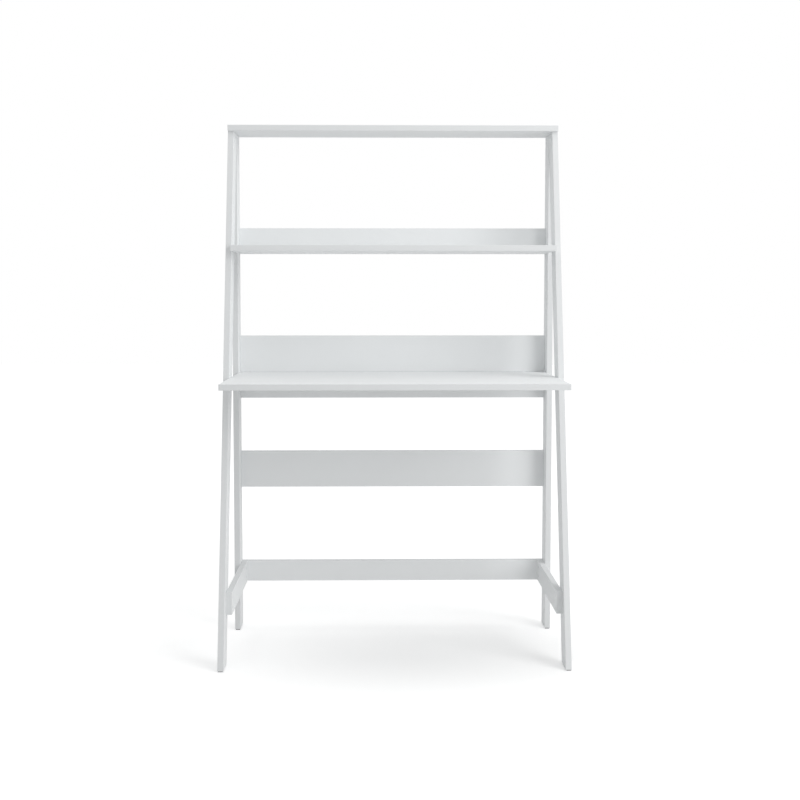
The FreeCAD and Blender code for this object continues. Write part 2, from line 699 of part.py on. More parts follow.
def join_shelf_to_legs(name, board, underside):
    """Cam locks in a shelf's underside, and dowels in its ends, between it and all four legs."""
    axis = f"({underside} + dims.cam_axis)"
    middle = raked_middle(axis)
    cam_depths = {
        "rear": "dims.leg_depth - dims.shelf_cam_inset",
        "front": f"{middle} - dims.raked_fixing_offset",
    }
    dowel_depths = {
        "rear": "dims.shelf_dowel_inset",
        "front": f"{middle} + dims.raked_fixing_offset",
    }
    for side, sign in SIGNS.items():
        lock = f"{sign}({INNER_FACE} - dims.cam_reach)"
        bolt_end = f"{sign}({INNER_FACE} + dims.cam_bolt_seat)"
        dowel_end = f"{sign}({INNER_FACE} + dims.dowel_seat)"
        for place, leg in (("rear", rear_legs[side]), ("front", front_legs[side])):
            cam_y = at_depth(cam_depths[place])
            dowel_y = at_depth(dowel_depths[place])
            drill(leg, OPPOSITE[side], [(cam_y, axis)], CAM_THREAD_BORE, "dims.cam_bolt_seat")
            drill(leg, OPPOSITE[side], [(dowel_y, axis)], DOWEL_BORE, "dims.dowel_seat")
            drill(board, side, [(cam_y, axis)], CAM_SHAFT_BORE, "dims.cam_reach")
            drill(board, side, [(dowel_y, axis)], DOWEL_BORE, DOWEL_BORE_DEPTH)
            drill(board, "bottom", [(lock, cam_y)], CAM_BORE, "dims.cam_height")
            add_place(f"{name}_cam_bolts", bolt_end, cam_y, axis, INWARD[side])
            add_place(f"{name}_cam_locks", lock, cam_y, underside, UP_MOUTH_OUT[side])
            add_place(f"{name}_end_dowels", dowel_end, dowel_y, axis, INWARD[side])
            add_place("cam_caps", lock, cam_y, underside, DOWN)


def join_top_shelf():
    """Cam locks in the inner faces of the legs, and dowels in their heads, under the top shelf."""
    lock_height = f"({LEG_TOP} - dims.cam_reach)"
    front_edge = raked_front(LEG_TOP)
    cam_depths = {"rear": "dims.top_fixing_inset", "front": f"{front_edge} - dims.top_fixing_inset"}
    dowel_depths = {
        "rear": "dims.leg_depth - dims.top_fixing_inset",
        "front": "dims.leg_depth + dims.top_fixing_inset",
    }
    bolt_end = f"({LEG_TOP} + dims.cam_bolt_seat)"
    dowel_end = f"({LEG_TOP} + dims.dowel_seat)"
    for side, sign in SIGNS.items():
        inner = f"{sign}({INNER_FACE})"
        cam_x = f"{sign}({INNER_FACE} + dims.cam_axis)"
        dowel_x = f"{sign}({INNER_FACE} + dims.leg_thickness / 2)"
        for place, leg in (("rear", rear_legs[side]), ("front", front_legs[side])):
            cam_y = at_depth(cam_depths[place])
            dowel_y = at_depth(dowel_depths[place])
            drill(leg, OPPOSITE[side], [(cam_y, lock_height)], CAM_BORE, "dims.cam_height")
            drill(leg, "top", [(cam_x, cam_y)], CAM_SHAFT_BORE, "dims.cam_reach")
            drill(leg, "top", [(dowel_x, dowel_y)], DOWEL_BORE, DOWEL_BORE_DEPTH)
            drill(top_shelf, "bottom", [(cam_x, cam_y)], CAM_THREAD_BORE, "dims.cam_bolt_seat")
            drill(top_shelf, "bottom", [(dowel_x, dowel_y)], DOWEL_BORE, "dims.dowel_seat")
            add_place("top_shelf_cam_bolts", cam_x, cam_y, bolt_end, DOWN)
            add_place("top_shelf_cam_locks", inner, cam_y, lock_height, OUTWARD[side])
            add_place("top_shelf_dowels", dowel_x, dowel_y, dowel_end, DOWN)
            add_place("cam_caps", inner, cam_y, lock_height, INWARD[side])


# A rail stands on a board or hangs under it: the faces that meet, and how the dowels go in.
STANDING = ("top", "bottom", "-", UP_MARK_RIGHT)
HANGING = ("bottom", "top", "+", DOWN)


def dowel_rail_to_board(node, board, rail, joint_height, spread, way):
    """Dowels seated in a board that run on into the rail above or under it."""
    board_face, rail_face, seat_sign, rotation = way
    spots = [(across, at_depth(RAIL_MIDDLE)) for across in spread]
    drill(board, board_face, spots, DOWEL_BORE, "dims.dowel_seat")
    drill(rail, rail_face, spots, DOWEL_BORE, DOWEL_BORE_DEPTH)
    for x, y in spots:
        add_place(node, x, y, f"({joint_height} {seat_sign} dims.dowel_seat)", rotation)


def screw_side_rails():
    """Two countersunk screws from each side rail into each leg that it lies against."""
    middle = f"({CROSSBAR_BOTTOM} + dims.rail_height / 2)"
    heights = [f"({middle} {sign} dims.screw_spread)" for sign in "-+"]
    raked_back = f"({raked_front(middle)} - {RAKED_DEPTH})"
    depths = {
        "rear": "(dims.rail_thickness + dims.leg_depth) / 2",
        "front": f"({raked_back} + dims.side_rail_reach) / 2",
    }
    for side, sign in SIGNS.items():
        head = f"{sign}({INNER_FACE} - dims.leg_thickness)"
        spots = []
        for place, leg in (("rear", rear_legs[side]), ("front", front_legs[side])):
            pair = [(at_depth(depths[place]), height) for height in heights]
            drill(leg, OPPOSITE[side], pair, SCREW_BORE, SCREW_BORE_DEPTH)
            spots += pair
        countersink(side_rails[side], OPPOSITE[side], spots, SCREW_BORE, SCREW_HEAD_BORE)
        for y, z in spots:
            add_place("side_rail_screws", head, y, z, OUTWARD[side])


for name, (bottom, height) in RAILS.items():
    bolt_height = f"({bottom} + {height} - dims.rail_fixing_inset)"
    dowel_height = f"({bottom} + dims.rail_fixing_inset)"
    join_cross_board(name, [bolt_height], [dowel_height])
for name, bottom in PANEL_BOTTOMS.items():
    lower = f"({bottom} + dims.panel_bolt_inset)"
    upper = f"({bottom} + dims.panel_height - dims.panel_bolt_inset)"
    join_cross_board(name, [lower, upper], [f"({bottom} + dims.panel_height / 2)"])

join_shelf_to_legs("desktop", desktop, DESK_UNDERSIDE)
join_shelf_to_legs("middle_shelf", middle_shelf, MIDDLE_UNDERSIDE)
join_top_shelf()

back_panel = cross_boards["desktop_back_panel"]
back_rail = cross_boards["middle_shelf_back_rail"]
under_rail = cross_boards["under_desk_rail"]
three = ["-dims.dowel_pitch", "0", "dims.dowel_pitch"]
two = ["-dims.dowel_pitch / 2", "dims.dowel_pitch / 2"]
dowel_rail_to_board("back_panel_dowels", desktop, back_panel, "dims.desktop_height", three, STANDING)
dowel_rail_to_board("middle_rail_dowels", middle_shelf, back_rail, MIDDLE_TOP, three, STANDING)
dowel_rail_to_board("under_desk_rail_dowels", desktop, under_rail, DESK_UNDERSIDE, two, HANGING)
screw_side_rails()

# Which fastener each group repeats.
originals = {
    "rail_bolts": frame_bolt,
    "barrel_nuts": barrel_nut,
    "bolt_cover_plugs": cover_plug,
    "cam_caps": cam_cap,
    "side_rail_screws": side_screw,
}
for name in places:
    if name.endswith("_cam_bolts"):
        originals[name] = cam_bolt
    elif name.endswith("_cam_locks"):
        originals[name] = cam_lock
    elif name.endswith("dowels"):
        originals[name] = dowel
    make_group(name, originals[name], places[name])

# ---------------------------------------------------------------- checks and files
doc.recompute()
for item in doc.Objects:
    if "Invalid" in item.State or "Error" in item.State:
        raise RuntimeError(f"{item.Name} did not recompute: {item.State}")
for node, solid_count in nodes:
    shape = node.Shape
    if shape.isNull() or not shape.isValid():
        raise RuntimeError(f"{node.Label} has no valid shape")
    if len(shape.Solids) != solid_count:
        raise RuntimeError(f"{node.Label} has {len(shape.Solids)} solids, not {solid_count}")

os.makedirs("parts", exist_ok=True)
for node, solid_count in nodes:
    node.Shape.exportStep(os.path.join("parts", f"{node.Label}.step"))
    print(f"{node.Label}: {solid_count} solid(s)")
print(f"{len(nodes)} nodes")
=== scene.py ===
import json
import math

import bpy
import numpy as np
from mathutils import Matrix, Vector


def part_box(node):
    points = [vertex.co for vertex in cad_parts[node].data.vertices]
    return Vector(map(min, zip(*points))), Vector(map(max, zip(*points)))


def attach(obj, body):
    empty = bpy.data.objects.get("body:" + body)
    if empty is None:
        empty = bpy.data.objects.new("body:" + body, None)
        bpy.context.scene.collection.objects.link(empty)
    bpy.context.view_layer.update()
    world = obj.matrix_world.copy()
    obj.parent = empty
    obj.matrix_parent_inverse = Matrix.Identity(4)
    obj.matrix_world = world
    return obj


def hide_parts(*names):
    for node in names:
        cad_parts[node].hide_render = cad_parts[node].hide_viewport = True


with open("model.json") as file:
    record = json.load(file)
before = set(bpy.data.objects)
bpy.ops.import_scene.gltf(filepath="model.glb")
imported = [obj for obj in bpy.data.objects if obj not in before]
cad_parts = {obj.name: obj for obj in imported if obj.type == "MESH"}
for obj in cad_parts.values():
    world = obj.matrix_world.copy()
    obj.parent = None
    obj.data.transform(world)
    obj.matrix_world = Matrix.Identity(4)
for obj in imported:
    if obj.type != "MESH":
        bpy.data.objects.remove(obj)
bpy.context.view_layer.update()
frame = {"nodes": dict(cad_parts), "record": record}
nodes = frame["nodes"]
print("frame:", len(nodes), "nodes")

# Metres throughout, in the desk's own frame: X to the right, Y to the back, Z up from the floor.

cameraView = {
    "place": (-0.0462, -2.8773, 0.9759),
    "pitch": -0.0576,  # radians, below level
    "yaw": -0.0131,  # radians about Z
    "lens": 47.55,  # millimetres
    "sensor": 36.0,
    "shift": (0.0116, -0.0544),  # takes the place of more pitch, so the legs stay nearly upright
    "farthest": 60.0,  # nothing past this is drawn
}


def makeCamera(settings):
    data = bpy.data.cameras.new("deskCamera")
    data.lens = settings["lens"]
    data.sensor_width = settings["sensor"]
    data.shift_x, data.shift_y = settings["shift"]
    data.clip_end = settings["farthest"]
    camera = bpy.data.objects.new("deskCamera", data)
    camera.location = settings["place"]
    camera.rotation_euler = (math.pi / 2 + settings["pitch"], 0.0, settings["yaw"])
    bpy.context.scene.collection.objects.link(camera)
    bpy.context.scene.camera = camera


makeCamera(cameraView)
bpy.context.scene.view_settings.view_transform = "Standard"
print("camera: set")


# Studio: a white room, a broad lamp overhead and two softer ones in front on the right.
studio = {
    "roomLight": 0.58,  # comes from all round
    "roomTint": (0.99, 1.0, 1.0),
    "floorHalf": 12.0,
    "floorBounce": 0.75,  # how much light the floor gives back to the desk
    "floorShade": 0.75,  # how strongly the floor shows a shadow
    # the glow is lowest under the desk, which paints a shadow there
    "floorGlow": (0.25, 0.475, 0.63),  # under the desk, round it, and far off in less light
    "shadowMiddle": (0.1, -0.07),
    "shadowReach": (0.88, 0.49),  # half width and half depth of the patch that isn't plain white
    "farReach": (1.5, 5.0),  # how many times that size the glow starts to rise again, and ends
    "overhead": {
        "power": 19.0,  # watts
        "size": (3.6, 2.6),
        "place": (0.0, 0.0, 3.2),
        "aim": (0.0, 0.0, 0.0),
    },
    "highRight": {
        "power": 27.9,
        "size": (2.0, 1.6),
        "place": (2.4, -1.9, 2.8),
        "aim": (0.0, 0.0, 0.8),
    },
    "lowRight": {
        "power": 26.1,
        "size": (2.0, 1.8),
        "place": (2.7, -2.0, 1.4),
        "aim": (0.0, 0.0, 0.8),
    },
}


def addNode(tree, kind, **values):
    node = tree.nodes.new(kind)
    for name, value in values.items():
        setattr(node, name, value)
    return node


# Carries one range of values over to another.
def addRange(tree, source, before, after, easing="LINEAR"):
    node = addNode(tree, "ShaderNodeMapRange", interpolation_type=easing)
    node.inputs["From Min"].default_value, node.inputs["From Max"].default_value = before
    node.inputs["To Min"].default_value, node.inputs["To Max"].default_value = after
    tree.links.new(source, node.inputs["Value"])
    return node.outputs["Result"]


def addMath(tree, operation, first, second):  # each of the two is a socket or a number
    node = addNode(tree, "ShaderNodeMath", operation=operation)
    for socket, value in zip(node.inputs, (first, second)):
        if isinstance(value, (int, float)):
            socket.default_value = value
        else:
            tree.links.new(value, socket)
    return node.outputs[0]


def addMix(tree, share, first, second):  # of two shaders
    mix = addNode(tree, "ShaderNodeMixShader")
    tree.links.new(share, mix.inputs["Fac"])
    tree.links.new(first.outputs[0], mix.inputs[1])
    tree.links.new(second.outputs[0], mix.inputs[2])
    return mix.outputs[0]


def newMaterial(name):
    material = bpy.data.materials.new(name)
    material.use_nodes = True
    material.node_tree.nodes.clear()
    output = material.node_tree.nodes.new("ShaderNodeOutputMaterial")
    return material, material.node_tree, output


def seenDirectly(tree):  # 1 for camera, glossy and transmission rays, otherwise 0
    path = addNode(tree, "ShaderNodeLightPath")
    total = path.outputs["Is Camera Ray"]
    for name in ("Is Glossy Ray", "Is Transmission Ray"):
        total = addMath(tree, "MAXIMUM", total, path.outputs[name])
    return total


def makeRoom(settings):
    world = bpy.data.worlds.new("whiteRoom")
    bpy.context.scene.world = world
    world.use_nodes = True
    tree = world.node_tree
    tree.nodes.clear()
    light = addNode(tree, "ShaderNodeBackground")
    light.inputs["Color"].default_value = (*settings["roomTint"], 1.0)
    light.inputs["Strength"].default_value = settings["roomLight"]
    backdrop = addNode(tree, "ShaderNodeBackground")
    backdrop.inputs["Color"].default_value = (1.0, 1.0, 1.0, 1.0)
    output = addNode(tree, "ShaderNodeOutputWorld")
    room = addMix(tree, seenDirectly(tree), light, backdrop)
    tree.links.new(room, output.inputs["Surface"])


# How bright the floor looks by itself, with the desk's shadow painted in: it is lowest in the
# middle of the shadow and rises to the edge of the patch, and again far off.
def addGlowWithPaintedShadow(tree, settings):
    place = addNode(tree, "ShaderNodeTexCoord")
    patch = addNode(tree, "ShaderNodeMapping")
    for axis, (middle, reach) in enumerate(zip(settings["shadowMiddle"], settings["shadowReach"])):
        patch.inputs["Location"].default_value[axis] = -middle / reach
        patch.inputs["Scale"].default_value[axis] = 1.0 / reach
    distance = addNode(tree, "ShaderNodeVectorMath", operation="LENGTH")
    tree.links.new(place.outputs["Object"], patch.inputs["Vector"])
    tree.links.new(patch.outputs["Vector"], distance.inputs[0])
    away = distance.outputs["Value"]
    under, around, far = settings["floorGlow"]
    # painted shadow: the glow is lowest under the desk and rises to the edge of the patch
    near = addRange(tree, away, (0.0, 1.0), (under, around), "SMOOTHSTEP")
    rise = addRange(tree, away, settings["farReach"], (0.0, far - around), "SMOOTHSTEP")
    return addMath(tree, "ADD", near, rise)


def makeFloor(settings):
    half = settings["floorHalf"]
    mesh = bpy.data.meshes.new("studioFloor")
    corners = [(-half, -half, 0.0), (half, -half, 0.0), (half, half, 0.0), (-half, half, 0.0)]
    mesh.from_pydata(corners, [], [(0, 1, 2, 3)])
    floor = bpy.data.objects.new("studioFloor", mesh)
    bpy.context.scene.collection.objects.link(floor)
    material, tree, output = newMaterial("paleFloor")
    material.cycles.emission_sampling = "NONE"  # the glow is only seen, and lights nothing
    glow = addNode(tree, "ShaderNodeEmission")
    tree.links.new(addGlowWithPaintedShadow(tree, settings), glow.inputs["Strength"])
    shaded = addNode(tree, "ShaderNodeBsdfDiffuse")
    shaded.inputs["Color"].default_value = (*[settings["floorShade"]] * 3, 1.0)
    bounce = addNode(tree, "ShaderNodeBsdfDiffuse")
    bounce.inputs["Color"].default_value = (*[settings["floorBounce"]] * 3, 1.0)
    seen = addNode(tree, "ShaderNodeAddShader")
    tree.links.new(glow.outputs[0], seen.inputs[0])
    tree.links.new(shaded.outputs[0], seen.inputs[1])
    tree.links.new(addMix(tree, seenDirectly(tree), bounce, seen), output.inputs["Surface"])
    mesh.materials.append(material)


def makeLamp(name, settings):
    data = bpy.data.lights.new(name, "AREA")
    data.shape = "RECTANGLE"
    data.size, data.size_y = settings["size"]
    data.energy = settings["power"]
    lamp = bpy.data.objects.new(name, data)
    lamp.visible_camera = False
    lamp.location = settings["place"]
    towards = np.array(settings["aim"]) - np.array(settings["place"])
    tilt = math.atan2(math.hypot(towards[0], towards[1]), -towards[2])  # from straight down
    lamp.rotation_euler = (tilt, 0.0, math.atan2(-towards[0], towards[1]))
    bpy.context.scene.collection.objects.link(lamp)


makeRoom(studio)
makeFloor(studio)
for lampName in ("overhead", "highRight", "lowRight"):
    makeLamp(lampName + "Lamp", studio[lampName])
print("studio: room, floor and three lamps")


# Materials.  Every pattern reads the piece's own Object coordinates, which are metres.
colourBand = (0.35, 0.65)  # a noise below it shows the one colour, and above it the other
glossBand = (0.3, 0.7)
whole = (0.0, 1.0)


def addNoise(tree, scale, detail=2.0, stretch=(1.0, 1.0, 1.0)):  # scale is in waves per metre
    place = addNode(tree, "ShaderNodeTexCoord")
    mapping = addNode(tree, "ShaderNodeMapping")
    mapping.inputs["Scale"].default_value = stretch
    noise = addNode(tree, "ShaderNodeTexNoise")
    noise.inputs["Scale"].default_value = scale
    noise.inputs["Detail"].default_value = detail
    tree.links.new(place.outputs["Object"], mapping.inputs["Vector"])
    tree.links.new(mapping.outputs["Vector"], noise.inputs["Vector"])
    return noise.outputs["Fac"]


def addColour(tree, share, first, second):  # each of the two is a socket or a colour
    node = addNode(tree, "ShaderNodeMix", data_type="RGBA")
    tree.links.new(share, node.inputs["Factor"])
    for socket, value in zip((node.inputs[6], node.inputs[7]), (first, second)):  # A and B
        if isinstance(value, tuple):
            socket.default_value = (*value, 1.0)
        else:
            tree.links.new(value, socket)
    return node.outputs[2]


def addBump(tree, shader, height, distance):
    bump = addNode(tree, "ShaderNodeBump")
    bump.inputs["Strength"].default_value = 1.0
    bump.inputs["Distance"].default_value = distance
    tree.links.new(height, bump.inputs["Height"])
    tree.links.new(bump.outputs["Normal"], shader.inputs["Normal"])


# A new material, its nodes and its shader.
def newFinish(name):
    material, tree, output = newMaterial(name)
    shader = addNode(tree, "ShaderNodeBsdfPrincipled")
    tree.links.new(shader.outputs[0], output.inputs["Surface"])
    return material, tree, shader


def dress(node, material):
    nodes[node].material_slots[0].material = material


# Satin paint on board.  The cut edges are a little greyer, which is painted shade on the boards'
# narrow faces; they are also duller and show the fibre of the board.
paint = {
    "face": (0.864, 0.877, 0.883),
    "faceShade": (0.852, 0.865, 0.871),  # where the coat is thinner
    # painted shade: the greyer colour that the narrow faces take
    "edge": (0.786, 0.798, 0.804),
    "shadeScale": 7.0,
    "roughness": (0.52, 0.62),  # smallest and largest over a face
    "specular": 0.22,
    "edgeRoughness": 0.12,  # added on the edges
    "sheenScale": 40.0,
    "rollerScale": 420.0,  # the fine pimpling that a roller leaves
    "fibreScale": 1500.0,
    "relief": 0.00003,
    "edgeTurn": (0.55, 0.85),  # how squarely a surface looks along the board's thin way: edge, face
}


def makePaint(name, thinAxis, settings):
    material, tree, shader = newFinish(name)
    shader.inputs["Specular IOR Level"].default_value = settings["specular"]
    place = addNode(tree, "ShaderNodeTexCoord")
    square = addNode(tree, "ShaderNodeVectorMath", operation="DOT_PRODUCT")
    square.inputs[1].default_value = [float(axis == thinAxis) for axis in range(3)]
    tree.links.new(place.outputs["Normal"], square.inputs[0])
    turned = addMath(tree, "ABSOLUTE", square.outputs["Value"], 0.0)
    # 1 on the narrow faces and 0 on the broad ones; it lays on the painted edge shade, the extra
    # roughness and the fibre
    edge = addRange(tree, turned, settings["edgeTurn"], (1.0, 0.0))
    shade = addRange(tree, addNoise(tree, settings["shadeScale"], detail=4.0), colourBand, whole)
    face = addColour(tree, shade, settings["face"], settings["faceShade"])
    # painted shade: the narrow faces take the greyer edge colour
    tree.links.new(addColour(tree, edge, face, settings["edge"]), shader.inputs["Base Color"])
    sheen = addNoise(tree, settings["sheenScale"], detail=3.0)
    faceRoughness = addRange(tree, sheen, glossBand, settings["roughness"])
    duller = addMath(tree, "MULTIPLY", edge, settings["edgeRoughness"])
    tree.links.new(addMath(tree, "ADD", faceRoughness, duller), shader.inputs["Roughness"])
    roller = addNoise(tree, settings["rollerScale"])
    fibre = addMath(tree, "MULTIPLY", addNoise(tree, settings["fibreScale"], detail=3.0), edge)
    addBump(tree, shader, addMath(tree, "ADD", roller, fibre), settings["relief"])
    return material


thinNames = ("paintedLegBoard", "paintedRailBoard", "paintedShelfBoard")  # thin along X, Y and Z
paints = [makePaint(name, axis, paint) for axis, name in enumerate(thinNames)]
boards = [s["node"] for s in frame["record"]["subparts"] if s["material_slot"] == "painted_board"]
for node in boards:
    low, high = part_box(node)
    sizes = [high[axis] - low[axis] for axis in range(3)]
    dress(node, paints[sizes.index(min(sizes))])
print("boards:", len(boards), "painted")


# Zinc: plated steel, bright and fine, and the duller cast zinc of locks and nuts.
zinc = {
    "bright": (0.74, 0.75, 0.77),
    "dull": (0.62, 0.63, 0.65),
    "mottleScale": 350.0,
    "plated": {"roughness": (0.24, 0.38), "grainScale": 3000.0, "relief": 0.000004},
    "cast": {"roughness": (0.4, 0.58), "grainScale": 1800.0, "relief": 0.000012},
}


def makeZinc(name, settings, finish):
    material, tree, shader = newFinish(name)
    shader.inputs["Metallic"].default_value = 1.0
    mottle = addNoise(tree, settings["mottleScale"], detail=4.0)
    share = addRange(tree, mottle, colourBand, whole)
    colour = addColour(tree, share, settings["bright"], settings["dull"])
    tree.links.new(colour, shader.inputs["Base Color"])
    roughness = addRange(tree, mottle, glossBand, finish["roughness"])
    tree.links.new(roughness, shader.inputs["Roughness"])
    addBump(tree, shader, addNoise(tree, finish["grainScale"]), finish["relief"])
    return material


platedSteel = makeZinc("zincPlatedSteel", zinc, zinc["plated"])
castZinc = makeZinc("castZinc", zinc, zinc["cast"])


# The plastic of plugs and caps, faintly clouded where it flowed into the mould.
plastic = {
    "colour": (0.835, 0.855, 0.86),
    "flowColour": (0.81, 0.832, 0.838),
    "flowScale": 120.0,
    "roughness": (0.28, 0.38),
    "grainScale": 2500.0,
    "relief": 0.000006,
}


def makePlastic(name, settings):
    material, tree, shader = newFinish(name)
    flow = addRange(tree, addNoise(tree, settings["flowScale"]), colourBand, whole)
    colour = addColour(tree, flow, settings["colour"], settings["flowColour"])
    tree.links.new(colour, shader.inputs["Base Color"])
    roughness = addRange(tree, flow, whole, settings["roughness"])
    tree.links.new(roughness, shader.inputs["Roughness"])
    addBump(tree, shader, addNoise(tree, settings["grainScale"]), settings["relief"])
    return material


whitePlastic = makePlastic("mouldedWhitePlastic", plastic)


# Bare beech, streaked along the dowel and flecked with its short dark rays.
beech = {
    "light": (0.78, 0.6, 0.4),
    "dark": (0.62, 0.43, 0.26),
    "fleck": (0.4, 0.25, 0.14),
    "ringScale": 900.0,
    "fleckScale": 2600.0,
    "fleckBand": (0.66, 0.72),  # only the highest values of a noise make a fleck
    "stretch": 0.06,  # the grain's width as a share of its length
    "roughness": 0.62,
    "relief": 0.00003,
}


def makeBeech(name, grainAxis, settings):
    material, tree, shader = newFinish(name)
    shader.inputs["Roughness"].default_value = settings["roughness"]
    stretch = [1.0, 1.0, 1.0]
    stretch[grainAxis] = settings["stretch"]
    rings = addNoise(tree, settings["ringScale"], detail=3.0, stretch=stretch)
    flecks = addNoise(tree, settings["fleckScale"], detail=1.0, stretch=stretch)
    share = addRange(tree, rings, colourBand, whole)
    wood = addColour(tree, share, settings["light"], settings["dark"])
    specks = addRange(tree, flecks, settings["fleckBand"], whole)
    colour = addColour(tree, specks, wood, settings["fleck"])
    tree.links.new(colour, shader.inputs["Base Color"])
    addBump(tree, shader, rings, settings["relief"])
    return material


beeches = [makeBeech("beechAlong" + letter, axis, beech) for axis, letter in enumerate("XYZ")]


pad = {
    "colour": (0.3, 0.3, 0.31),
    "worn": (0.22, 0.22, 0.23),
    "patchScale": 260.0,
    "grainScale": 2200.0,
    "roughness": 0.85,
    "relief": 0.00005,
}


def makePadRubber(name, settings):
    material, tree, shader = newFinish(name)
    shader.inputs["Roughness"].default_value = settings["roughness"]
    patches = addRange(tree, addNoise(tree, settings["patchScale"], detail=3.0), colourBand, whole)
    colour = addColour(tree, patches, settings["colour"], settings["worn"])
    tree.links.new(colour, shader.inputs["Base Color"])
    addBump(tree, shader, addNoise(tree, settings["grainScale"]), settings["relief"])
    return material


padRubber = makePadRubber("padRubber", pad)
for node in nodes:
    if node.startswith("foot_pad"):
        dress(node, padRubber)
    elif node.endswith("cam_locks") or node == "barrel_nuts":
        dress(node, castZinc)
print("materials: paint, zinc, plastic, beech and rubber")


# Where each fastener is: the points of each separate solid of its CAD node.
def solidsOf(node):
    mesh = nodes[node].data
    points = np.empty(len(mesh.vertices) * 3, np.float32)
    mesh.vertices.foreach_get("co", points)
    points = points.reshape(-1, 3)
    mesh.calc_loop_triangles()
    corners = np.empty(len(mesh.loop_triangles) * 3, np.int32)
    mesh.loop_triangles.foreach_get("vertices", corners)
    same = np.unique(points, axis=0, return_inverse=True)[1].reshape(-1)
    triangles = same[corners].reshape(-1, 3)
    label = np.arange(same.max() + 1)
    while True:  # every corner takes the lowest label in its triangle until none changes
        lowest = label[triangles].min(axis=1)
        before = label.copy()
        np.minimum.at(label, triangles.ravel(), np.repeat(lowest, 3))
        label = label[label]
        if (label == before).all():
            break
    return [points[label[same] == one].astype(float) for one in np.unique(label[same])]


endDepth = 0.00001  # metres; points this near to an end lie on it


# A fastener's place is the middle of its first end, the way it runs, its length and its radius.
# Its axis is the one way that its box differs in from the other two.
def placesOf(node, wideFirst=True):
    places = []
    for points in solidsOf(node):
        low, high = points.min(axis=0), points.max(axis=0)
        middle, size = (low + high) / 2, high - low
        spread = [abs(size[axis - 1] - size[axis - 2]) for axis in range(3)]
        axis = int(np.argmin(spread))
        reach = np.linalg.norm(np.delete(points - middle, axis, axis=1), axis=1)
        atLow = reach[points[:, axis] < low[axis] + endDepth].max()
        atHigh = reach[points[:, axis] > high[axis] - endDepth].max()
        if abs(atLow - atHigh) < endDepth:
            lowFirst = middle[0] < 0.0  # alike at both ends: the outer end is the first
        else:
            lowFirst = (atLow > atHigh) == wideFirst
        start, way = middle.copy(), np.zeros(3)
        start[axis] = low[axis] if lowFirst else high[axis]
        way[axis] = 1.0 if lowFirst else -1.0
        places.append((start, way, size[axis], size[axis - 1] / 2))
    return places


def ringAngles(count):
    return np.arange(count) * (2.0 * math.pi / count)


def plainRings(radii, segments):
    return np.repeat(np.array(radii)[:, None], segments, axis=1)


# Distance from the middle to the side of a regular hole with so many sides, at each angle: half
# its width over the cosine of the angle from the middle of the nearest side.
def holeRing(acrossFlats, sides, segments):
    sector = 2.0 * math.pi / sides
    off = (ringAngles(segments) + sector / 2) % sector - sector / 2
    return (acrossFlats / 2 / np.cos(off))[None, :]


# Thread rows: the radius falls from the crest by the thread's depth in a triangle wave of
# height / pitch - angle / whole turn, flattened at crest and root, and fades out at both ends.
def threadRows(start, end, crest, settings):
    rows = int((end - start) / settings["pitch"] * settings["rowsPerTurn"])
    heights = np.linspace(start, end, rows)
    around = ringAngles(settings["segments"]) / (2.0 * math.pi)
    wave = 2.0 * np.abs((heights[:, None] / settings["pitch"] - around) % 1.0 - 0.5)
    flat = settings["crestFlat"]
    groove = np.clip((wave - flat) / (1.0 - 2.0 * flat), 0.0, 1.0)
    fade = np.clip(np.minimum(heights - start, end - heights) / settings["pitch"], 0.0, 1.0)
    return crest - settings["threadDepth"] * fade[:, None] * groove, heights


# A turned piece: rings of points about Z, one more point at each end to close it.
# A point is (radius * cos angle, radius * sin angle, height); the radius may change with the angle.
def turnedSurface(radii, heights):
    rings, count = radii.shape
    angles = ringAngles(count)
    levels = np.broadcast_to(heights[:, None], radii.shape)
    points = np.stack([radii * np.cos(angles), radii * np.sin(angles), levels], axis=2)
    ends = [[0.0, 0.0, heights[0]], [0.0, 0.0, heights[-1]]]
    points = np.vstack([points.reshape(-1, 3), ends])
    here = np.arange(rings * count).reshape(rings, count)
    following = np.roll(here, -1, axis=1)
    sides = np.stack([here[:-1], following[:-1], following[1:], here[1:]], axis=2).reshape(-1, 4)
    firstFan = np.stack([np.full(count, rings * count), following[0], here[0]], axis=1)
    lastFan = np.stack([np.full(count, rings * count + 1), here[-1], following[-1]], axis=1)
    return points, [sides, np.vstack([firstFan, lastFan])]


sharpAngle = 0.6  # radians; where faces turn by more, the piece shows an edge


def makePiece(name, points, faceSets, material):
    mesh = bpy.data.meshes.new(name)
    faces = [face for faceSet in faceSets for face in faceSet.tolist()]
    mesh.from_pydata(points.tolist(), [], faces)
    mesh.polygons.foreach_set("use_smooth", np.ones(len(faces), bool))
    mesh.set_sharp_from_angle(angle=sharpAngle)
    mesh.materials.append(material)
    piece = bpy.data.objects.new(name, mesh)
    bpy.context.scene.collection.objects.link(piece)
    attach(piece, "root")
    return piece


# One copy of a surface at each place, its Z along the fastener's way.
def makeFasteners(node, shape, settings, material, wideFirst=True):
    places = placesOf(node, wideFirst)
    allPoints, allFaces = [], []
    for number, (start, way, length, radius) in enumerate(places):
        points, faceSets = shape(length, radius, settings)
        across = np.array((0.0, 0.0, 1.0) if way[0] else (1.0, 0.0, 0.0))
        basis = np.stack([across, np.cross(way, across), way])
        allPoints.append(points @ basis + start)
        allFaces += [faceSet + number * len(points) for faceSet in faceSets]
    words = node.split("_")
    name = words[0] + "".join(word.title() for word in words[1:])
    piece = makePiece(name, np.vstack(allPoints), allFaces, material)
    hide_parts(node)
    print(name + ":", len(places), "copies,", sum(len(faceSet) for faceSet in allFaces), "faces")


coverPlug = {
    "dome": 0.00025,  # how far the middle stands proud of the rim
    "rim": 0.0003,  # radius of its rounding
    "foot": 0.0002,  # bevel at the inner end
    "hub": 0.2,  # the first ring, as a share of the way out to the rim
    "steps": 7,
    "segments": 48,
}
camCap = {**coverPlug, "dome": 0.00012, "rim": 0.0006, "foot": 0.00015}


